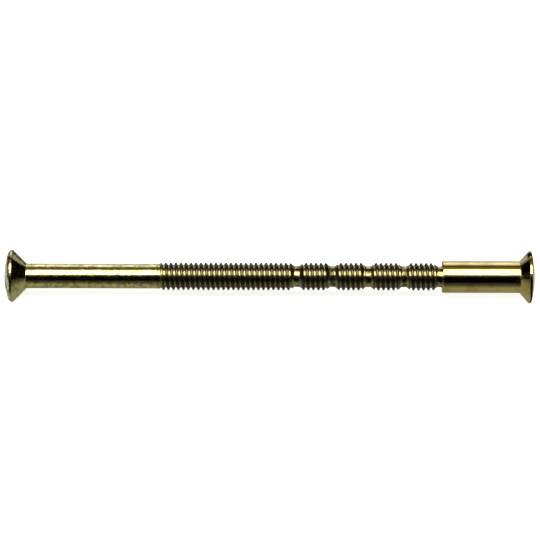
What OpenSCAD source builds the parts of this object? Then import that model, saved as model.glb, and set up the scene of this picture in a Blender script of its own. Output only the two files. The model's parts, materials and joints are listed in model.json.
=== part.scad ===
// A two-part handle screw: a long slotted screw whose thread has break-off notches, and a blind
// sleeve nut with a slotted head like the screw's. Both lie along X, with the sleeve's slot upright.
// The origin is at the centre of the screw head's flush plane, the plane of its rim's upper edge.

/* [Screw] */
// Length from the flush plane of the head to the tip
screw_length = 65; // [50:1:90]
// Length from the flush plane to the start of the thread
plain_length = 20.75; // [8:0.25:24]
// Diameter of the plain shank, before the thread is rolled
shank_d = 3.5; // [3.3:0.05:3.7]
// Diameter of the flat end at the tip
tip_d = 2.6; // [2:0.1:2.8]

/* [Thread] */
// Outer diameter of the thread
thread_d = 3.9; // [3.8:0.05:4.2]
// Pitch of the thread
thread_pitch = 0.7; // [0.5:0.05:0.8]
// Gap all round between the thread's crests and the bore of the sleeve
thread_clearance = 0.05; // [0.03:0.01:0.1]

/* [Break-off notches] */
// Number of notches
notch_count = 5; // [0:1:6]
// Distance between neighbouring notches
notch_spacing = 5; // [3:0.5:5]
// Distance from the tip to the nearest notch
notch_to_tip = 5; // [4:0.5:8]
// Diameter at the bottom of a notch
notch_d = 2.95; // [2.5:0.05:3]
// Width of the flat bottom of a notch
notch_flat = 0.65; // [0.3:0.05:1]
// Width of a notch at the thread's crests
notch_w = 1.9; // [1.4:0.1:2.4]

/* [Heads] */
// Diameter of both heads
head_d = 7.4; // [6.5:0.1:9]
// Height of the straight rim of a head
rim_h = 0.25; // [0.15:0.01:0.6]
// Width of the driver slots
slot_w = 1.1; // [0.8:0.05:1.4]
// Included angle of the cone under the screw's head
screw_cone_angle = 90; // [80:1:100]
// Included angle of the cone under the sleeve's head
sleeve_cone_angle = 98; // [80:1:100]
// Height of the screw's dome above the flush plane
screw_dome_h = 0.9; // [0.6:0.05:1.4]
// Height of the sleeve's dome above the flush plane
sleeve_dome_h = 0.6; // [0.4:0.05:1.2]
// Bevel between the rim and the dome of the screw
screw_bevel = 0.35; // [0.05:0.05:0.45]
// Bevel between the rim and the dome of the sleeve
sleeve_bevel = 0.1; // [0.05:0.05:0.3]
// Depth of the slots below the flush plane
slot_depth = 0.6; // [0.4:0.05:0.9]
// Turn of the screw's slot against the sleeve's, in degrees
slot_turn = 30; // [0:5:90]

/* [Sleeve nut] */
// Diameter of the sleeve
sleeve_d = 4.5; // [4.5:0.05:5.5]
// Length from the mouth of the sleeve to the flush plane of its head
sleeve_length = 12.4; // [9:0.1:20]
// Thickness left between the end of the bore and the slot
bore_floor = 1.2; // [0.8:0.1:2]
// Bevel at the mouth of the bore
mouth_bevel = 0.1; // [0.05:0.05:0.15]
// Length of thread that is inside the sleeve
engagement = 4.7; // [3:0.1:6]

/* [Hidden] */
$fn = 96;
overlap = 0.01;

// The thread has the basic 60 degree profile: a crest of an eighth of the pitch, and its own depth
thread_r = thread_d / 2;
thread_depth = 0.6134 * thread_pitch;
root_r = thread_r - thread_depth;
core_r = 0.95 * root_r;
crest_share = 1 / 8;
flank_share = thread_depth * tan(30) / thread_pitch;
profile_share = [
    0.5 - crest_share / 2 - flank_share,
    0.5 - crest_share / 2,
    0.5 + crest_share / 2,
    0.5 + crest_share / 2 + flank_share
];
profile_r = [root_r, thread_r, thread_r, root_r];
rows = len(profile_share);

// The first turns are buried in the shank, and the last one ends just short of the tip
steps_per_turn = 16;
buried = 1.5 * thread_pitch;
thread_start = plain_length - buried;
tip_core = 3 * thread_pitch;
turns = floor((screw_length - thread_start) / thread_pitch - 1);
steps = turns * steps_per_turn;

notch_r = notch_d / 2;
notch_slope = (thread_r - notch_r) / ((notch_w - notch_flat) / 2);
notch_x = [for (i = [0:1:notch_count - 1]) screw_length - notch_to_tip - i * notch_spacing];

sleeve_mouth = screw_length - engagement;
bore_r = thread_r + thread_clearance;
bore_depth = sleeve_length - slot_depth - bore_floor;

// Height of the cone between a neck and the rim of its head
function cone_height(neck_d, cone_angle) = (head_d - neck_d) / 2 / tan(cone_angle / 2);

// Largest radius that the notches leave at x
function notch_limit(x) =
    min(concat([thread_r], [for (n = notch_x) notch_r + max(0, abs(x - n) - notch_flat / 2) * notch_slope]));

// Largest radius that the thread's start and the tip leave at x
function end_limit(x) = min(root_r + max(0, x - plain_length), tip_d / 2 + max(0, screw_length - x));

// One point of the thread, on one row of its profile and one step along its helix
function thread_point(step, row) =
    let (
        x = thread_start + thread_pitch * (step / steps_per_turn + profile_share[row]),
        r = min(profile_r[row], notch_limit(x), end_limit(x)),
        turn = 360 * step / steps_per_turn
    )
    [x, r * cos(turn), r * sin(turn)];

function point_id(step, row) = step * rows + row;

// Two triangles for the four-sided face a, b, c, d
function face(a, b, c, d) = [[a, b, c], [a, c, d]];

// Triangles from the point centre to each edge of a closed loop of points
function fan(centre, loop) =
    [for (i = [0:len(loop) - 1]) [centre, loop[i], loop[(i + 1) % len(loop)]]];

// The rolled thread: its flanks and crest, the roots between its turns, and its two ends
module thread() {
    start_centre = [thread_start + thread_pitch / 2, 0, 0];
    end_centre = [thread_start + thread_pitch * (turns + 0.5), 0, 0];
    helix = [for (step = [0:steps]) for (row = [0:rows - 1]) thread_point(step, row)];
    points = concat(helix, [start_centre, end_centre]);
    flanks = [
        for (step = [0:steps - 1]) for (row = [0:rows - 2])
            each face(point_id(step, row), point_id(step, row + 1),
                point_id(step + 1, row + 1), point_id(step + 1, row))
    ];
    roots = [
        for (step = [0:steps - 1 - steps_per_turn])
            let (next = step + steps_per_turn)
            each face(point_id(step, rows - 1), point_id(next, 0),
                point_id(next + 1, 0), point_id(step + 1, rows - 1))
    ];
    start_loop = concat(
        [for (step = [0:steps_per_turn]) point_id(step, 0)],
        [for (row = [rows - 1:-1:1]) point_id(0, row)]
    );
    end_loop = concat(
        [for (row = [0:rows - 1]) point_id(steps, row)],
        [for (step = [steps - 1:-1:steps - steps_per_turn]) point_id(step, rows - 1)]
    );
    ends = concat(fan(len(helix), start_loop), fan(len(helix) + 1, end_loop));
    polyhedron(points, concat(flanks, roots, ends), convexity = 10);
}

// A raised countersunk head with its flush plane at z = 0, its dome upwards and its neck below
module head(neck_d, cone_angle, dome_h, bevel) {
    head_r = head_d / 2;
    cone_h = cone_height(neck_d, cone_angle);
    cap_r = head_r - bevel;
    cap_h = dome_h - bevel;
    sphere_r = (cap_r * cap_r + cap_h * cap_h) / (2 * cap_h);
    difference() {
        union() {
            translate([0, 0, -rim_h - cone_h]) cylinder(h = cone_h, d1 = neck_d, d2 = head_d);
            translate([0, 0, -rim_h]) cylinder(h = rim_h, d = head_d);
            intersection() {
                translate([0, 0, dome_h - sphere_r]) sphere(sphere_r);
                cylinder(h = 2 * dome_h, r1 = head_r, r2 = head_r - 2 * dome_h);
            }
        }
        translate([-head_d, -slot_w / 2, -slot_depth]) cube([2 * head_d, slot_w, slot_depth + 2 * dome_h]);
    }
}

// The screw: head, plain shank, the cone in which the shank runs out into the thread, and the tip
module screw() {
    shank_x = rim_h + cone_height(shank_d, screw_cone_angle) / 2;
    color("#c9b56b") {
        rotate([-slot_turn, 0, 0]) rotate([0, -90, 0])
            head(shank_d, screw_cone_angle, screw_dome_h, screw_bevel);
        translate([shank_x, 0, 0]) rotate([0, 90, 0]) cylinder(h = plain_length - shank_x, d = shank_d);
        translate([plain_length, 0, 0]) rotate([0, 90, 0])
            cylinder(h = thread_pitch, r1 = shank_d / 2, r2 = core_r);
        thread();
        translate([screw_length - tip_core, 0, 0]) rotate([0, 90, 0]) cylinder(h = tip_core, d = tip_d);
    }
}

// The sleeve nut: a closed barrel with a smooth bore that clears the screw's thread
module sleeve_nut() {
    barrel_h = sleeve_length - rim_h - cone_height(sleeve_d, sleeve_cone_angle) / 2;
    color("#cdb45c") translate([sleeve_mouth, 0, 0]) rotate([0, 90, 0]) difference() {
        union() {
            translate([0, 0, sleeve_length]) head(sleeve_d, sleeve_cone_angle, sleeve_dome_h, sleeve_bevel);
            cylinder(h = barrel_h, d = sleeve_d);
        }
        translate([0, 0, -overlap]) cylinder(h = bore_depth + overlap, r = bore_r);
        translate([0, 0, -overlap])
            cylinder(h = mouth_bevel + overlap, r1 = bore_r + mouth_bevel + overlap, r2 = bore_r);
    }
}

screw();
sleeve_nut();
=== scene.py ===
# %% [markdown]
# # A handle screw, modelled and photographed
#
# The object is two plated steel pieces on one axis: a long slotted screw whose thread has break-off
# notches, and a blind sleeve nut on its end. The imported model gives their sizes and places. This
# lesson models the same two pieces again with the fine shapes that plain solids leave out, such as
# rounded edges and the thread inside the sleeve, and gives them their plating.

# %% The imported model
import json
import math

import bpy
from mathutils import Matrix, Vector


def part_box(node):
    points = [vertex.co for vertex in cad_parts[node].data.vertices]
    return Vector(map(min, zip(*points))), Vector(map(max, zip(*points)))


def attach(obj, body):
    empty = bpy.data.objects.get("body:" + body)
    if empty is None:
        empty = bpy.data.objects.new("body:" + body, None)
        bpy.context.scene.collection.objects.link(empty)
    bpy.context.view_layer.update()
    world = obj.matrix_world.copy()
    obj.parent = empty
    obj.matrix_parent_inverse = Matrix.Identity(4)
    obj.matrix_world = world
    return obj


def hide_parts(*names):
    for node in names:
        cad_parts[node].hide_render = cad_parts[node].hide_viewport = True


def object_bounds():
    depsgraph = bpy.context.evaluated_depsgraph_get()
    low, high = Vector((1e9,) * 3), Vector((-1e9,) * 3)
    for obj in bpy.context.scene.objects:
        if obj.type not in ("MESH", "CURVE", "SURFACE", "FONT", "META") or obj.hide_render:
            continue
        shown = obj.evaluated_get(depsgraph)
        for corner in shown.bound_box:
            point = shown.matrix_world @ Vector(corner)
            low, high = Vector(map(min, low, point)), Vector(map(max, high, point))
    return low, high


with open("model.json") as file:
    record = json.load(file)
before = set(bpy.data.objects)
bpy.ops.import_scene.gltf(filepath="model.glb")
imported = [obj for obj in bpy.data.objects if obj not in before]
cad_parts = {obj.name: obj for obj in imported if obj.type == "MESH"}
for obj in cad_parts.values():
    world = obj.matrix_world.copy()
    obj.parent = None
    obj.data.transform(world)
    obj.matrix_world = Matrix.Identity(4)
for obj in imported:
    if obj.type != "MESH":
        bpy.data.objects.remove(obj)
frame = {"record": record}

cad_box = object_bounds()
mounts = {mount["name"]: mount for mount in frame["record"]["mounts"]}

# %% [markdown]
# ## Sizes
#
# Blender works in metres here, and the whole object is 74 mm long. Many of Blender's tools merge
# points that are closer than some fixed distance, which suits furniture better than screws. So each
# piece is modelled with one unit to the millimetre and shrunk at the end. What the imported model
# states is taken from it, and the rest is named here.

# %% Sizes in millimetres
MM = 0.001


def place_of(mount):
    """Where a mount sits along X."""
    return mounts[mount]["pos_m"][0] / MM


screw_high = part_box("screw")[1]
sleeve_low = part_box("sleeve_nut")[0]

tip_x = screw_high.x / MM
sleeve_mouth = sleeve_low.x / MM
sleeve_flush = place_of("sleeve_head_seat")
screw_slot_floor = place_of("screw_driver_slot")
sleeve_slot_floor = place_of("sleeve_driver_slot")
shank_r = mounts["screw_shank"]["dims"]["r_mm"]
barrel_r = mounts["sleeve_barrel"]["dims"]["r_mm"]

head_r = 3.7
rim_h = 0.25
slot_w = 1.1
plain_length = 20.75
thread_pitch = 0.7
thread_r = 1.95
thread_depth = 0.36
root_r = thread_r - thread_depth
tip_r = 1.3
print(f"screw {tip_x:.2f} mm long, sleeve from {sleeve_mouth:.2f} to {sleeve_flush:.2f} mm")

# %% [markdown]
# ## Drawing and turning
#
# Both pieces come off a lathe or a heading machine, so nearly every surface is a line turned round
# the axis. One could stack cylinders and cones, but their joints would be hard edges. Here one half
# outline is drawn point by point, by extruding a single vertex, and then spun. Each corner of an
# outline carries its own fillet, because real edges are never sharp and a small round is what
# catches the light.

# %% Outlines and turned pieces
TURN_STEPS = 128
MERGE_MM = 0.0005
FILLET_STEPS = 4


def rounded(corners):
    """An outline of (x, radius) points from corners of (x, radius, fillet)."""
    outline = []
    for i, (x, radius, fillet) in enumerate(corners):
        corner = Vector((x, radius))
        if fillet == 0:
            outline.append(corner)
            continue
        back = (Vector(corners[i - 1][:2]) - corner).normalized()
        ahead = (Vector(corners[i + 1][:2]) - corner).normalized()
        half_angle = back.angle(ahead) / 2
        reach = fillet / math.tan(half_angle)
        centre = corner + (back + ahead).normalized() * fillet / math.sin(half_angle)
        first = (corner + back * reach - centre).normalized()
        last = (corner + ahead * reach - centre).normalized()
        for step in range(FILLET_STEPS + 1):
            outline.append(centre + fillet * first.slerp(last, step / FILLET_STEPS))
    return outline


def drawn(name, outline):
    """A new mesh in edit mode: the outline as a chain of edges in the XY plane."""
    bpy.ops.object.select_all(action="DESELECT")
    bpy.ops.mesh.primitive_plane_add(size=1)
    piece = bpy.context.object
    piece.name = name
    bpy.ops.object.mode_set(mode="EDIT")
    bpy.ops.mesh.merge(type="CENTER")
    pen = Vector()
    for number, (x, radius) in enumerate(outline):
        step = Vector((x, radius, 0)) - pen
        if number == 0:
            bpy.ops.transform.translate(value=step)
        else:
            bpy.ops.mesh.extrude_region_move(TRANSFORM_OT_translate={"value": step})
        pen += step
    bpy.ops.mesh.select_all(action="SELECT")
    return piece


def close_seams():
    """Merges the doubled points of a seam or pole and turns every face outwards."""
    bpy.ops.mesh.select_all(action="SELECT")
    bpy.ops.mesh.remove_doubles(threshold=MERGE_MM)
    bpy.ops.mesh.normals_make_consistent(inside=False)


def turned(name, outline):
    """A solid of revolution about the X axis."""
    piece = drawn(name, outline)
    bpy.ops.mesh.spin(steps=TURN_STEPS, angle=2 * math.pi, center=(0, 0, 0), axis=(1, 0, 0))
    close_seams()
    bpy.ops.object.mode_set(mode="OBJECT")
    return piece


def combine(piece, tool, operation):
    """Applies a boolean of the tool to the piece and removes the tool."""
    modifier = piece.modifiers.new(operation.title(), "BOOLEAN")
    modifier.operation = operation
    modifier.solver = "EXACT"
    modifier.object = tool
    bpy.ops.object.select_all(action="DESELECT")
    bpy.context.view_layer.objects.active = piece
    bpy.ops.object.modifier_apply(modifier=modifier.name)
    bpy.data.objects.remove(tool)


def describe(piece):
    """Prints a piece's count of triangles and its size in millimetres, before it is shrunk."""
    piece.data.calc_loop_triangles()
    size = piece.dimensions
    print(f"{piece.name}: {len(piece.data.loop_triangles)} triangles, "
          f"{size.x:.2f} x {size.y:.2f} x {size.z:.2f}")


# %% [markdown]
# ## Heads
#
# Each head is a raised countersunk one: a cone that sinks into the handle's plate, a narrow upright
# rim, a small bevel and a shallow dome. The dome is part of a sphere, so its height and its edge give
# the sphere's radius. The function lists the head's corners from the middle of the dome to the neck,
# and the head at the other end takes the same corners, mirrored.

# %% Corners of a head
DOME_STEPS = 10
EDGE_FILLET = 0.09
NECK_FILLET = 0.3


def head_corners(neck_r, cone_angle, dome_h, bevel):
    """Corners (distance below the flush plane, radius, fillet) from the dome's middle to the neck."""
    cap_r = head_r - bevel
    cap_h = dome_h - bevel
    sphere_r = (cap_r**2 + cap_h**2) / (2 * cap_h)
    edge_angle = math.asin(cap_r / sphere_r)
    corners = []
    for step in range(DOME_STEPS):
        angle = edge_angle * step / DOME_STEPS
        corners.append((sphere_r * (1 - math.cos(angle)) - dome_h, sphere_r * math.sin(angle), 0))
    cone_h = (head_r - neck_r) / math.tan(math.radians(cone_angle / 2))
    edge = min(EDGE_FILLET, bevel)
    corners.append((-bevel, cap_r, edge))
    corners.append((0, head_r, edge))
    corners.append((rim_h, head_r, EDGE_FILLET))
    corners.append((rim_h + cone_h, neck_r, NECK_FILLET))
    return corners


# %% [markdown]
# ## Threads
#
# The screw's thread is rolled: hard dies press the valleys in and squeeze the crests up, so the
# valleys come out smooth and the crests a little rounded. A row of rings would look like a thread
# from the side but would not be one. The Screw modifier sweeps one pitch of the profile along a
# helix instead. Cutting both ends off with a filled bisect closes the rod.

# %% Threaded rods
THREAD_STEPS = 48
FLANK_ANGLE = math.radians(30)
CREST_SHARE = 0.24
ROOT_FILLET = 0.05
CREST_FILLET = 0.08
SPARE_TURNS = 2
# The first turns lie inside the shank. The phase, a share of the pitch, sets where the crests fall.
BURIED_TURNS = 1.5
THREAD_PHASE = 0.18
thread_start = plain_length - (BURIED_TURNS - THREAD_PHASE) * thread_pitch


def threaded_rod(name, grow, from_x, to_x):
    """A right-hand thread between two planes, with its radius larger by grow all along."""
    low, high = root_r + grow, thread_r + grow
    crest = 0.5 - CREST_SHARE / 2
    foot = crest - thread_depth * math.tan(FLANK_ANGLE) / thread_pitch
    profile = [
        (0, low, 0),
        (foot, low, ROOT_FILLET),
        (crest, high, CREST_FILLET),
        (1 - crest, high, CREST_FILLET),
        (1 - foot, low, ROOT_FILLET),
        (1, low, 0),
    ]
    corners = [(share * thread_pitch, radius, fillet) for share, radius, fillet in profile]
    first_turn = math.floor((from_x - thread_start) / thread_pitch) - SPARE_TURNS
    start_x = thread_start + first_turn * thread_pitch
    rod = drawn(name, [(x + start_x, radius) for x, radius in rounded(corners)])
    bpy.ops.object.mode_set(mode="OBJECT")
    sweep = rod.modifiers.new("Helix", "SCREW")
    sweep.axis = "X"
    sweep.steps = sweep.render_steps = THREAD_STEPS
    sweep.screw_offset = thread_pitch
    sweep.iterations = math.ceil((to_x - start_x) / thread_pitch) + SPARE_TURNS
    bpy.ops.object.modifier_apply(modifier=sweep.name)
    bpy.ops.object.mode_set(mode="EDIT")
    close_seams()
    for plane_x, side in ((from_x, -1), (to_x, 1)):
        bpy.ops.mesh.select_all(action="SELECT")
        bpy.ops.mesh.bisect(
            plane_co=(plane_x, 0, 0), plane_no=(side, 0, 0), use_fill=True, clear_outer=True
        )
    close_seams()
    bpy.ops.object.mode_set(mode="OBJECT")
    return rod


# %% [markdown]
# ## The screw
#
# The blank is turned first: it has the break-off notches and the bevelled tip. Where the blank is
# narrower than the thread there is nothing for the dies to press, so the thread is the part of the
# rod that lies inside the blank. The head and the shank are a second turned piece that runs out into
# the first turns of the thread, and both become one closed mesh.

# %% Blank of the threaded end
NOTCH_X = [40, 45, 50, 55, 60]
NOTCH_FILLET = 0.15
TIP_FILLET = 0.06
BLANK_MARGIN = 0.1
ROD_OVERLAP = 0.3
# How far along X the blank takes to widen by one millimetre of radius where the thread starts
RUN_IN = 2
notch_r = 1.475
notch_flat = 0.65
notch_w = 1.9
blank_r = thread_r + BLANK_MARGIN
notch_slope = (thread_r - notch_r) / ((notch_w - notch_flat) / 2)
notch_reach = notch_flat / 2 + (blank_r - notch_r) / notch_slope
rod_start = plain_length - ROD_OVERLAP
blank_start = rod_start - BLANK_MARGIN

blank_corners = [
    (blank_start, 0, 0),
    (blank_start, shank_r, 0),
    (plain_length, shank_r, 0),
    (plain_length + RUN_IN * (blank_r - shank_r), blank_r, 0),
]
for x in NOTCH_X:
    blank_corners += [
        (x - notch_reach, blank_r, 0),
        (x - notch_flat / 2, notch_r, NOTCH_FILLET),
        (x + notch_flat / 2, notch_r, NOTCH_FILLET),
        (x + notch_reach, blank_r, 0),
    ]
blank_corners += [(tip_x - (blank_r - tip_r), blank_r, 0), (tip_x, tip_r, TIP_FILLET), (tip_x, 0, 0)]
blank = turned("blank", rounded(blank_corners))
describe(blank)

# %% Rolled thread
screw = threaded_rod("break_off_screw", 0, rod_start, tip_x + thread_pitch)
describe(screw)
combine(screw, blank, "INTERSECT")
describe(screw)

# %% Head and shank
SHANK_FILLET = 0.3
RUN_OUT_TURNS = 2
CORE_SHARE = 0.95
screw_cone_angle = 90
screw_dome_h = 0.9
screw_bevel = 0.35
core_r = CORE_SHARE * root_r
core_start = plain_length + RUN_OUT_TURNS * thread_pitch
core_end = core_start + thread_pitch
shank_corners = head_corners(shank_r, screw_cone_angle, screw_dome_h, screw_bevel)
shank_corners += [
    (plain_length, shank_r, SHANK_FILLET),
    (core_start, core_r, 0),
    (core_end, core_r, 0),
    (core_end, 0, 0),
]
shank = turned("shank", rounded(shank_corners))
describe(shank)
combine(screw, shank, "UNION")
describe(screw)

# %% [markdown]
# ## The driver slots
#
# A saw cuts the slot straight across each head. The cutter is a block as wide as the blade, with the
# two long edges at its bottom bevelled round as a worn blade leaves them, and a boolean takes it out.
# The sleeve's slot stands upright. A screw stops at any turn, so the screw's slot is turned against it.

# %% Slots
SLOT_OVERRUN = 2.0
SLOT_CORNER = 0.12
BLADE_LENGTH = 4 * head_r
SCREW_SLOT_TURN = math.radians(-30)


def saw_blade(floor_x, side, turn=0):
    """A block from the slot's floor outwards, where side is the direction out of the head."""
    bpy.ops.object.select_all(action="DESELECT")
    bpy.ops.mesh.primitive_cube_add(size=1, location=(floor_x + side * SLOT_OVERRUN / 2, 0, 0))
    blade = bpy.context.object
    blade.scale = (SLOT_OVERRUN, slot_w, BLADE_LENGTH)
    blade.rotation_euler.x = turn
    bpy.ops.object.transform_apply(location=True, rotation=True, scale=True)
    bpy.ops.object.mode_set(mode="EDIT")
    bpy.ops.mesh.select_all(action="DESELECT")
    bpy.ops.object.mode_set(mode="OBJECT")
    for edge in blade.data.edges:
        ends = [blade.data.vertices[i].co for i in edge.vertices]
        on_floor = all(abs(end.x - floor_x) < MERGE_MM for end in ends)
        edge.select = on_floor and abs(ends[0].z - ends[1].z) > head_r
    bpy.ops.object.mode_set(mode="EDIT")
    bpy.ops.mesh.bevel(offset=SLOT_CORNER, segments=FILLET_STEPS)
    bpy.ops.object.mode_set(mode="OBJECT")
    return blade


combine(screw, saw_blade(screw_slot_floor, -1, SCREW_SLOT_TURN), "DIFFERENCE")
describe(screw)

# %% [markdown]
# ## The sleeve nut
#
# The sleeve is turned from bar: a barrel, a cone and the same kind of head. Its blind hole is tapped,
# so the tool that cuts it is a threaded rod again, a little larger than the screw so that the two
# never touch, with a cone at the mouth where the tap's burr is taken off.

# %% Turned sleeve
MOUTH_FILLET = 0.22
sleeve_cone_angle = 98
sleeve_dome_h = 0.6
sleeve_bevel = 0.1

sleeve_head = head_corners(barrel_r, sleeve_cone_angle, sleeve_dome_h, sleeve_bevel)
sleeve_corners = [(sleeve_flush - x, radius, fillet) for x, radius, fillet in sleeve_head]
sleeve_corners += [(sleeve_mouth, barrel_r, MOUTH_FILLET), (sleeve_mouth, 0, 0)]
sleeve = turned("threaded_sleeve", rounded(sleeve_corners))
describe(sleeve)

# %% Tapped hole
thread_gap = 0.05
bore_end = 70.9
mouth_bevel = 0.1
mouth_run = 2 * thread_pitch
mouth_r = thread_r + thread_gap + mouth_bevel
drill_r = root_r + thread_gap
mouth_end = sleeve_mouth + mouth_r - drill_r

tap = threaded_rod("tap", thread_gap, sleeve_mouth - thread_pitch, bore_end)
mouth = turned("mouth", [
    (sleeve_mouth - mouth_run, 0),
    (sleeve_mouth - mouth_run, mouth_r + mouth_run),
    (mouth_end, drill_r - thread_gap),
    (mouth_end, 0),
])
combine(tap, mouth, "UNION")
combine(sleeve, tap, "DIFFERENCE")
combine(sleeve, saw_blade(sleeve_slot_floor, 1), "DIFFERENCE")
describe(sleeve)

# %% [markdown]
# ## Plating
#
# Both pieces are steel with a thin bright brass plating. A metal shows hardly any colour of its own:
# it tints what it reflects, so the tint, the roughness and the small waves in the surface make the
# finish. On the screw the plating lies over rolled steel, so it is cloudy, has small dark specks and
# waves a little. The sleeve was turned and polished first, so its plating is smoother and warmer.
# An image could carry all this, but noise in three dimensions needs no unwrapping and runs over
# every edge without a seam.

# %% Helpers for materials
def colour(hex_code):
    """An sRGB hex colour as linear RGBA."""
    linear = []
    for start in (1, 3, 5):
        value = int(hex_code[start:start + 2], 16) / 255
        linear.append(value / 12.92 if value <= 0.04045 else ((value + 0.055) / 1.055) ** 2.4)
    return (*linear, 1)


def per_metre(size_mm):
    """A texture scale at which a pattern's cells are about this many millimetres across."""
    return 1 / (size_mm * MM)


def add_node(tree, kind, inputs=None, **settings):
    """Adds a node, with its settings and the values or links of its inputs."""
    node = tree.nodes.new(kind)
    for name, value in settings.items():
        setattr(node, name, value)
    for name, value in (inputs or {}).items():
        if isinstance(value, bpy.types.NodeSocket):
            tree.links.new(value, node.inputs[name])
        else:
            node.inputs[name].default_value = value
    return node


def new_material(name):
    """A material without nodes, and its node tree."""
    material = bpy.data.materials.new(name)
    material.use_nodes = True
    material.node_tree.nodes.clear()
    return material, material.node_tree


# %% [markdown]
# ## The finish of the thread, and shade painted in its notches
#
# The thread is rougher than the shank and its tints are greyer: its crests are dark, its valleys
# paler, and the bottoms of the notches are dark with bright blotches, partly painted shade of the
# narrow grooves. Separate materials would meet in hard lines, and the real screw has none. So the
# distance from the axis tells crest, valley and notch apart, and the place along the axis says where
# the thread starts.

# %% Thread finish and painted notch shade
# In millimetres: how softly notches pass into valleys, the heights above the valleys between which
# the crests turn dark, and how far the clouds of the plating shift those heights
NOTCH_MARGIN = 0.02
CREST_FADE = (0.13, 0.3)
CREST_WAVER = 0.16


def thread_finish_and_notch_shade(tree, place, cloud, patches, tints, base, gloss, thread):
    """The sockets of a plating's colour and roughness, changed where the screw is threaded."""
    axes = add_node(tree, "ShaderNodeSeparateXYZ", {"Vector": place})
    across = add_node(tree, "ShaderNodeCombineXYZ", {"Y": axes.outputs["Y"], "Z": axes.outputs["Z"]})
    length = add_node(tree, "ShaderNodeVectorMath", {0: across.outputs[0]}, operation="LENGTH")
    radius = length.outputs["Value"]
    threaded = add_node(tree, "ShaderNodeMapRange", {
        "Value": axes.outputs["X"],
        "From Min": plain_length * MM,
        "From Max": (plain_length + thread_pitch) * MM}).outputs["Result"]
    above_notch = add_node(tree, "ShaderNodeMapRange", {
        "Value": radius,
        "From Min": (notch_r + NOTCH_MARGIN) * MM,
        "From Max": (root_r - NOTCH_MARGIN) * MM}).outputs["Result"]
    wavering = add_node(tree, "ShaderNodeMath", {
        0: cloud, 1: CREST_WAVER * MM, 2: radius}, operation="MULTIPLY_ADD")
    on_crest = add_node(tree, "ShaderNodeMapRange", {
        "Value": wavering.outputs[0],
        "From Min": (root_r + CREST_FADE[0]) * MM,
        "From Max": (root_r + CREST_FADE[1]) * MM}).outputs["Result"]
    covers = [
        (patches, tints),
        (above_notch, colour(thread["valley"])),
        (on_crest, colour(thread["crest"])),
    ]
    # The dark tint of the notch bottoms is partly painted shade of the narrow grooves.
    shade = colour(thread["notch"])
    for share, cover in covers:
        shade = add_node(tree, "ShaderNodeMix", {
            "Factor": share, "A": shade, "B": cover}, data_type="RGBA").outputs["Result"]
    base = add_node(tree, "ShaderNodeMix", {
        "Factor": threaded, "A": base, "B": shade}, data_type="RGBA").outputs["Result"]
    gloss = add_node(tree, "ShaderNodeMapRange", {
        "Value": threaded, "To Min": gloss, "To Max": thread["roughness"]}).outputs["Result"]
    return base, gloss


# %% Brass plating
# The values of the noise between which the tint changes, the size, softness and colour of the specks,
# and how much glossier and duller than the mean the patches are
PATCH_EDGES = (0.44, 0.58)
SPECK_MM = 0.3
SPECK_BLUR = 0.08
SPECK_COLOUR = "#5a5028"
GLOSS_SPREAD = (0.8, 1.25)


def brass_plating(name, tint, tarnish, patch_mm, speck_share, roughness, waves, thread=None):
    """Bright brass plating: two tints in patches, dark specks, and waves of (size, height) in mm."""
    material, tree = new_material(name)
    place = add_node(tree, "ShaderNodeTexCoord").outputs["Object"]
    cloud = add_node(tree, "ShaderNodeTexNoise", {
        "Vector": place, "Scale": per_metre(patch_mm), "Detail": 4.0, "Roughness": 0.6}).outputs["Fac"]
    patches = add_node(tree, "ShaderNodeMapRange", {
        "Value": cloud, "From Min": PATCH_EDGES[0], "From Max": PATCH_EDGES[1]}).outputs["Result"]
    tints = add_node(tree, "ShaderNodeMix", {
        "Factor": patches, "A": colour(tint), "B": colour(tarnish)}, data_type="RGBA").outputs["Result"]
    dust = add_node(tree, "ShaderNodeTexNoise", {
        "Vector": place, "Scale": per_metre(SPECK_MM), "Detail": 1.0}).outputs["Fac"]
    specks = add_node(tree, "ShaderNodeMapRange", {
        "Value": dust,
        "From Min": 1 - speck_share,
        "From Max": 1 + SPECK_BLUR - speck_share}).outputs["Result"]
    base = add_node(tree, "ShaderNodeMix", {
        "Factor": specks, "A": tints, "B": colour(SPECK_COLOUR)}, data_type="RGBA").outputs["Result"]
    gloss = add_node(tree, "ShaderNodeMapRange", {
        "Value": patches,
        "To Min": roughness * GLOSS_SPREAD[0],
        "To Max": roughness * GLOSS_SPREAD[1]}).outputs["Result"]
    if thread:
        base, gloss = thread_finish_and_notch_shade(tree, place, cloud, patches, tints, base, gloss, thread)
    shader = add_node(tree, "ShaderNodeBsdfPrincipled", {
        "Base Color": base, "Metallic": 1.0, "Roughness": gloss})
    waved = shader
    for size_mm, height_mm in waves:
        ripple = add_node(tree, "ShaderNodeTexNoise", {
            "Vector": place, "Scale": per_metre(size_mm), "Detail": 2.0, "Roughness": 0.6})
        bump = add_node(tree, "ShaderNodeBump", {
            "Height": ripple.outputs["Fac"], "Distance": height_mm * MM, "Strength": 1.0})
        tree.links.new(bump.outputs["Normal"], waved.inputs["Normal"])
        waved = bump
    add_node(tree, "ShaderNodeOutputMaterial", {"Surface": shader.outputs["BSDF"]})
    print(name, "has", len(tree.nodes), "nodes")
    return material


# %% Materials
# Rolled steel under brass: pale gold in cloudy patches, with a lively, slightly broken reflection,
# and a grey, duller thread whose notch bottoms are darkened, partly as painted shade.
screw_plating = brass_plating(
    "brass_plated_rolled_steel", tint="#f5edb5", tarnish="#c2b88c", patch_mm=0.7, speck_share=0.33,
    roughness=0.13, waves=[(0.8, 0.025), (0.3, 0.008)],
    thread={"valley": "#b3ab92", "crest": "#5a564f", "notch": "#50493a", "roughness": 0.2})
# Turned and polished steel under brass: warmer, with long clean reflections that waver only a little.
sleeve_plating = brass_plating(
    "brass_plated_polished_steel", tint="#eedea2", tarnish="#dcc68a", patch_mm=2.5, speck_share=0.2,
    roughness=0.1, waves=[(1.6, 0.012)])
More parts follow.
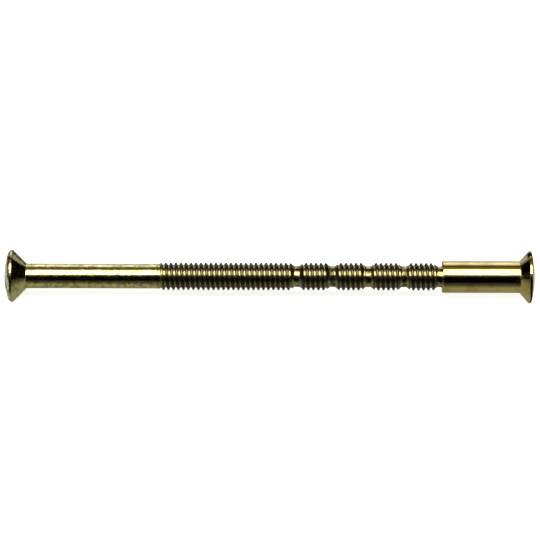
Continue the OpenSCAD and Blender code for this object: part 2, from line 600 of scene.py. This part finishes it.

# %% [markdown]
# ## Fitting to the frame
#
# The finished pieces are shrunk to metres and shaded smooth up to an angle, so that the fillets look
# round and the edges of the slots stay crisp. Weighted normals keep the flat faces flat. Each piece
# replaces its plain solid and rides on that solid's body.

# %% Finish both pieces
SMOOTH_ANGLE = math.radians(35)


def fit(piece, node, material):
    """Shrinks, smooths and plates a piece and puts it in the place of a node."""
    bpy.ops.object.select_all(action="DESELECT")
    piece.select_set(True)
    bpy.context.view_layer.objects.active = piece
    piece.scale = (MM, MM, MM)
    bpy.ops.object.transform_apply(location=True, rotation=True, scale=True)
    bpy.ops.object.shade_smooth_by_angle(angle=SMOOTH_ANGLE)
    weighted = piece.modifiers.new("Flat faces", "WEIGHTED_NORMAL")
    weighted.keep_sharp = True
    bpy.ops.object.modifier_apply(modifier=weighted.name)
    piece.data.materials.clear()
    piece.data.materials.append(material)
    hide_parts(node)
    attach(piece, node)
    print(piece.name, "stands in for", node)


fit(screw, "screw", screw_plating)
fit(sleeve, "sleeve_nut", sleeve_plating)

# %% [markdown]
# ## The camera
#
# The picture is taken from in front and a little above, with a long lens that shows the whole length
# across the frame. A short lens close by would show it too, but would bend its bands of light more.
# A small roll tilts the part as the photo has it.

# %% Camera
ELEVATION = math.radians(30)
CAMERA_DISTANCE = 0.45
PIXELS_PER_MM = 7.145
FRAME_PIXELS = 540
# The column that shows the origin, and the row of the axis in the picture's middle
AXIS_PIXEL = Vector((11, 276.4))
ROLL = math.radians(0.138)
towards_camera = Vector((0, -math.cos(ELEVATION), math.sin(ELEVATION)))
image_up = Vector((0, math.sin(ELEVATION), math.cos(ELEVATION)))
middle_x = (FRAME_PIXELS / 2 - AXIS_PIXEL.x) / PIXELS_PER_MM * MM
axis_drop = (AXIS_PIXEL.y - FRAME_PIXELS / 2) / PIXELS_PER_MM * MM
frame_width = FRAME_PIXELS / PIXELS_PER_MM * MM

middle = Vector((middle_x, 0, 0))
target = middle + image_up * axis_drop
camera_data = bpy.data.cameras.new("camera")
camera_data.angle = 2 * math.atan(frame_width / 2 / CAMERA_DISTANCE)
camera_data.clip_start = 0.01
camera = bpy.data.objects.new("camera", camera_data)
camera.location = target + towards_camera * CAMERA_DISTANCE
camera.rotation_euler = towards_camera.to_track_quat("Z", "Y").to_euler()
camera.rotation_euler.rotate_axis("Z", ROLL)
bpy.context.scene.collection.objects.link(camera)
bpy.context.scene.camera = camera
bpy.context.scene.view_settings.view_transform = "Standard"
print(f"camera {math.degrees(camera_data.angle):.1f} degrees wide, frame {frame_width / MM:.1f} mm wide")

# %% [markdown]
# ## Floor, room and softbox
#
# Polished metal shows its surroundings, so the picture is made by what stands round it. The floor
# and the room glow white where they are looked at, straight or in a reflection, but light nothing by
# it, so the floor keeps its soft shadow. One softbox above the camera lights the floor and draws the
# bright line along the part.

# %% Floor and world
FLOOR_SIZE = 4
STUDIO_WHITE = 0.75
ROOM_GREY = (0.3, 0.3, 0.3, 1)
floor_z = cad_box[0].z


def studio_white(tree, shader):
    """Adds white for camera, glossy and transmission rays to a shader and gives the result."""
    path = add_node(tree, "ShaderNodeLightPath")
    seen = add_node(tree, "ShaderNodeMath", {
        0: path.outputs["Is Camera Ray"], 1: path.outputs["Is Glossy Ray"]}, operation="MAXIMUM")
    seen = add_node(tree, "ShaderNodeMath", {
        0: seen.outputs[0], 1: path.outputs["Is Transmission Ray"]}, operation="MAXIMUM")
    strength = add_node(tree, "ShaderNodeMath", {
        0: seen.outputs[0], 1: STUDIO_WHITE}, operation="MULTIPLY")
    glow = add_node(tree, "ShaderNodeEmission", {"Strength": strength.outputs[0]})
    both = add_node(tree, "ShaderNodeAddShader", {0: shader.outputs[0], 1: glow.outputs[0]})
    return both.outputs[0]


bpy.ops.object.select_all(action="DESELECT")
bpy.ops.mesh.primitive_plane_add(size=FLOOR_SIZE, location=(middle_x, 0, floor_z))
floor = bpy.context.object
floor.name = "floor"
floor_paint, tree = new_material("white_floor_paper")
paper = add_node(tree, "ShaderNodeBsdfDiffuse", {"Color": colour("#f4f4f4")})
add_node(tree, "ShaderNodeOutputMaterial", {"Surface": studio_white(tree, paper)})
floor.data.materials.append(floor_paint)

world = bpy.data.worlds.new("studio")
world.use_nodes = True
tree = world.node_tree
tree.nodes.clear()
room = add_node(tree, "ShaderNodeBackground", {"Color": ROOM_GREY})
add_node(tree, "ShaderNodeOutputWorld", {"Surface": studio_white(tree, room)})
bpy.context.scene.world = world
print(f"floor {-floor_z / MM:.2f} mm below the axis")

# %% Softbox
SOFTBOX_DISTANCE = 250
SOFTBOX_ELEVATIONS = (44.3, 83.3)
SOFTBOX_WIDTH = 500
SOFTBOX_RADIANCE = 5
SOFTBOX_WARMTH = (1, 0.94, 0.56)


def around(elevation, distance):
    """A place (y, z) round the axis: elevation 0 is in front, 90 overhead and 180 behind."""
    angle = math.radians(elevation)
    return Vector((-distance * math.cos(angle), distance * math.sin(angle)))


low_edge, high_edge = (around(elevation, SOFTBOX_DISTANCE) for elevation in SOFTBOX_ELEVATIONS)
lamp_data = bpy.data.lights.new("softbox", "AREA")
lamp_data.shape = "RECTANGLE"
lamp_data.color = SOFTBOX_WARMTH
lamp_data.size = SOFTBOX_WIDTH * MM
lamp_data.size_y = (high_edge - low_edge).length * MM
lamp_data.energy = SOFTBOX_RADIANCE * math.pi * lamp_data.size * lamp_data.size_y
softbox = bpy.data.objects.new("softbox", lamp_data)
softbox.location = (middle_x, *((low_edge + high_edge) / 2 * MM))
softbox.rotation_euler = (softbox.location - middle).to_track_quat("Z", "Y").to_euler()
softbox.visible_camera = False
bpy.context.scene.collection.objects.link(softbox)
print("softbox", round(lamp_data.size_y, 3), "m high,", round(lamp_data.energy, 3), "W")

# %% [markdown]
# ## Cards round the part
#
# A product photographer stands black and grey cards round polished metal, and each card becomes one
# line along the part. Lamps could draw the same lines, but they would light the floor as well. These
# cards glow evenly, show only in reflections and throw no shadow, so they can stand anywhere. The
# ones round the axis are given by their elevations, and the ones on the floor by their distances
# from the axis. Their warm tints stand for the light that brass throws on the paper below it.

# %% Card makers
GREY = (1, 1, 1, 1)


def card(name, corners, level, tint=GREY):
    """An evenly bright card that shows only in reflections, with its corners in millimetres."""
    bpy.ops.object.select_all(action="DESELECT")
    bpy.ops.mesh.primitive_plane_add(size=1)
    made = bpy.context.object
    made.name = name
    order = (corners[0], corners[1], corners[3], corners[2])
    for vertex, corner in zip(made.data.vertices, order):
        vertex.co = Vector(corner) * MM
    paint, tree = new_material(name)
    glow = add_node(tree, "ShaderNodeEmission", {"Color": tint, "Strength": level})
    add_node(tree, "ShaderNodeOutputMaterial", {"Surface": glow.outputs[0]})
    made.data.materials.append(paint)
    made.visible_camera = False
    made.visible_diffuse = False
    made.visible_transmission = False
    made.visible_volume_scatter = False
    made.visible_shadow = False


def long_card(name, x_range, first, last, level, tint=GREY):
    """A card along X between two places (y, z)."""
    start, end = x_range
    card(name, [(start, *first), (end, *first), (end, *last), (start, *last)], level, tint)


def round_card(name, x_range, elevations, distance, level, tint=GREY):
    """A card along X between two elevations round the axis."""
    first, last = (around(elevation, distance) for elevation in elevations)
    long_card(name, x_range, first, last, level, tint)


def floor_card(name, x_range, y_range, height, level, tint=GREY):
    """A card that lies flat at a height, between two places along Y."""
    near, far = y_range
    long_card(name, x_range, (near, height), (far, height), level, tint)


def upright_card(name, x, y_range, z_range, level, tint=GREY):
    """A card across the axis at x, between two places along Y and two heights."""
    (near, far), (low, high) = y_range, z_range
    card(name, [(x, near, low), (x, far, low), (x, far, high), (x, near, high)], level, tint)


# %% Cards round the axis
CARD_DISTANCE = 300
CARD_REACH = 75
BROWN = (1, 0.72, 0.28, 1)
# Each band has a name, two elevations, a level and a tint
ROUND_BANDS = [
    ("front_flag", (-1, 33), 0, GREY),
    ("softbox_skirt", (33, 43.9), 0.11, GREY),
    ("softbox_surround", (43.9, 83.6), 0, GREY),
    ("softbox_glow", (83.6, 93), 0.38, BROWN),
    ("top_edge", (93, 101), 0.2, BROWN),
    ("top_flag", (101, 118), 0.1, BROWN),
    ("top_shade", (118, 124), 0.3, GREY),
    ("back_shade", (124, 130), 0.7, GREY),
    ("back_card", (130, 152), 1.18, GREY),
    ("back_dip", (152, 171), 0.65, GREY),
    ("back_foot", (171, 181), 0.8, GREY),
]
middle_mm = middle_x / MM
for name, elevations, level, tint in ROUND_BANDS:
    x_range = (middle_mm - CARD_REACH, middle_mm + CARD_REACH)
    round_card(name, x_range, elevations, CARD_DISTANCE, level, tint)
print(len(ROUND_BANDS), "cards round the axis")

# %% Cards on the floor
FLOOR_LIFT = 0.02
WARM = (1, 0.97, 0.7, 1)
# Beside the screw's head the warm bands turn a little greener
MOSS = (0.98, 1.01, 0.66, 1)
MOSS_X = 9
# The shade behind the part changes where the sleeve begins and reaches past both heads
SHADE_Y = (2, 90)
SHADE_X = (-4, 56, sleeve_flush + 7)
# Each band has a name, two places along Y, a level and a tint
# The bands beneath the part are darker as its painted shadow on the paper, and further in front they
# darken step by step to black.
FLOOR_BANDS = [
    ("floor_front", (-CARD_DISTANCE, -17), 0, GREY),
    ("floor_dim", (-17, -8), 0.05, WARM),
    ("floor_dusk", (-8, -5.8), 0.105, WARM),
    ("floor_edge", (-5.8, -4.4), 0.23, WARM),
    ("floor_under_painted_shadow", (-4.4, 0), 0.29, WARM),
    ("floor_heel_painted_shadow", (0, SHADE_Y[0]), 0.36, WARM),
    ("floor_back", (SHADE_Y[1], CARD_DISTANCE), 0.5, GREY),
]
card_floor = floor_z / MM + FLOOR_LIFT
shade_z = card_floor + FLOOR_LIFT
for name, y_range, level, tint in FLOOR_BANDS:
    floor_card(name, (0, sleeve_flush), y_range, card_floor, level, tint)
    if tint == WARM:
        floor_card("mossy_" + name, (0, MOSS_X), y_range, shade_z, level, MOSS)
floor_card("floor_shade", SHADE_X[:2], SHADE_Y, shade_z, level=0.1)
floor_card("sleeve_shade", SHADE_X[1:], SHADE_Y, shade_z, level=0.45)
print(len(FLOOR_BANDS), "bands on the floor")

# %% [markdown]
# ## Cards at both ends
#
# The domes and the cones of the heads face along the axis, so they need cards of their own: dark
# flags beside the part, paper on the floor and a dark wall at each end. Far out hang pale panels.
# The picture from the front hardly shows them, but seen from other sides the part would be nearly
# black without them.

# %% Bands at both ends
SIDE_DISTANCE = 320
WALL_SPAN = 340
PANEL_LEVEL = 0.5
SCREEN_ELEVATIONS = (150, 171)
FOOT_ELEVATIONS = (171, 181)
# Each flag has two elevations and the level of the panel beyond it
FLAG_BANDS = [
    ((0, 30), 0),
    ((30, 60), PANEL_LEVEL),
    ((60, 90), PANEL_LEVEL),
    ((90, 120), PANEL_LEVEL),
    ((120, 150), 0),
]
# Each strip of paper has two places along Y and a level
LEFT_FLOOR = [
    ((-WALL_SPAN, -8), 0),
    ((-8, -5.5), 0.05),
    ((-5.5, -4), 0.16),
    ((-4, -2.7), 0.38),
    ((-2.7, -1), 0.48),
    ((-1, 17), 0.62),
    ((17, WALL_SPAN), 0.27),
]
RIGHT_FLOOR = [
    ((-WALL_SPAN, 0), 0),
    ((0, 17), 0.62),
    ((17, WALL_SPAN), 0),
]
print(len(FLAG_BANDS), "flags,", len(LEFT_FLOOR), "strips on the left,", len(RIGHT_FLOOR), "on the right")

# %% Cards at both ends
# Distances from the part's middle along X, then the paper's reach past a head
INNER_X = 70
FLAG_X = 170
END_X = 300
PAPER_X = 40
FAR_PAPER_Y = 35
# The panels hang just in front of the walls: one in front of the part, one above and behind it
PANEL_GAP = 1
PANEL_Y = -130
FRONT_PANEL_Z = 60
TOP_PANEL_Z = 260
OLIVE = (0.97, 1, 0.7, 1)
COOL = (0.85, 0.92, 1, 1)


def end_cards(name, side, end_x, paper, paper_tint, screen_level, foot_level, tint):
    """The cards beyond one head, where side is the direction along X and end_x the head's place."""
    inner, flag_x, outer = (middle_mm + side * reach for reach in (INNER_X, FLAG_X, END_X))
    paper_x = end_x + side * PAPER_X
    panel_x = outer - side * PANEL_GAP
    for elevations, panel_level in FLAG_BANDS:
        flag = f"{name}_flag_{elevations[0]}"
        panel = f"{name}_panel_{elevations[0]}"
        round_card(flag, (inner, flag_x), elevations, SIDE_DISTANCE, 0)
        round_card(panel, (flag_x, outer), elevations, SIDE_DISTANCE, panel_level, WARM)
    behind = (inner, outer)
    round_card(name + "_screen", behind, SCREEN_ELEVATIONS, SIDE_DISTANCE, screen_level, tint)
    round_card(name + "_foot", behind, FOOT_ELEVATIONS, SIDE_DISTANCE, foot_level, tint)
    for y_range, level in paper:
        floor_card(f"{name}_paper_{y_range[0]}", (end_x, paper_x), y_range, card_floor, level, paper_tint)
    far_range = (paper_x, outer)
    floor_card(name + "_far_mat", far_range, (-WALL_SPAN, FAR_PAPER_Y), card_floor, 0)
    floor_card(name + "_far_paper", far_range, (FAR_PAPER_Y, WALL_SPAN), card_floor, paper[-1][1])
    upright_card(name + "_wall", outer, (-WALL_SPAN, WALL_SPAN), (card_floor, WALL_SPAN), 0)
    front = (-WALL_SPAN, PANEL_Y), (FRONT_PANEL_Z, WALL_SPAN)
    upright_card(name + "_front_panel", panel_x, *front, PANEL_LEVEL, WARM)
    top = (PANEL_Y, WALL_SPAN), (TOP_PANEL_Z, WALL_SPAN)
    upright_card(name + "_top_panel", panel_x, *top, PANEL_LEVEL, WARM)
    print("cards at the", name, "end, from", round(inner, 1), "to", round(outer, 1), "mm")


end_cards("left", -1, 0, LEFT_FLOOR, COOL, screen_level=0.25, foot_level=0.6, tint=GREY)
end_cards("right", 1, sleeve_flush, RIGHT_FLOOR, WARM, screen_level=0.34, foot_level=0, tint=OLIVE)

# %% Cards for the screw's head
# The steep dome of the screw's head sees further round than the sleeve's: it gets a grey sheet, a
# strip of cool paper, a dark flag behind and two glows beside the softbox.
SHEET_TOP = 11
COOL_STRIP_X = -6
COOL_STRIP_Y = (-4, -2)
upright_card("left_sheet", -PAPER_X, (0, FAR_PAPER_Y), (card_floor, SHEET_TOP), level=0.22)
floor_card("left_cool_paper", (-PAPER_X, COOL_STRIP_X), COOL_STRIP_Y, shade_z, level=0.85, tint=COOL)
# Each card has a name, two places along X, two elevations, a distance, a level and a tint
LEFT_CARDS = [
    ("left_back_flag", (-39, -19), (166, 181), 290, 0.1, GREY),
    ("left_low_glow", (-39, -18.5), (31, 43.9), 240, 0.7, WARM),
    ("left_high_glow", (-39, -18.5), (83.6, 98), 240, 0.4, WARM),
]
for left_card in LEFT_CARDS:
    round_card(*left_card)
print("a sheet, a strip and", len(LEFT_CARDS), "more cards for the screw's head")
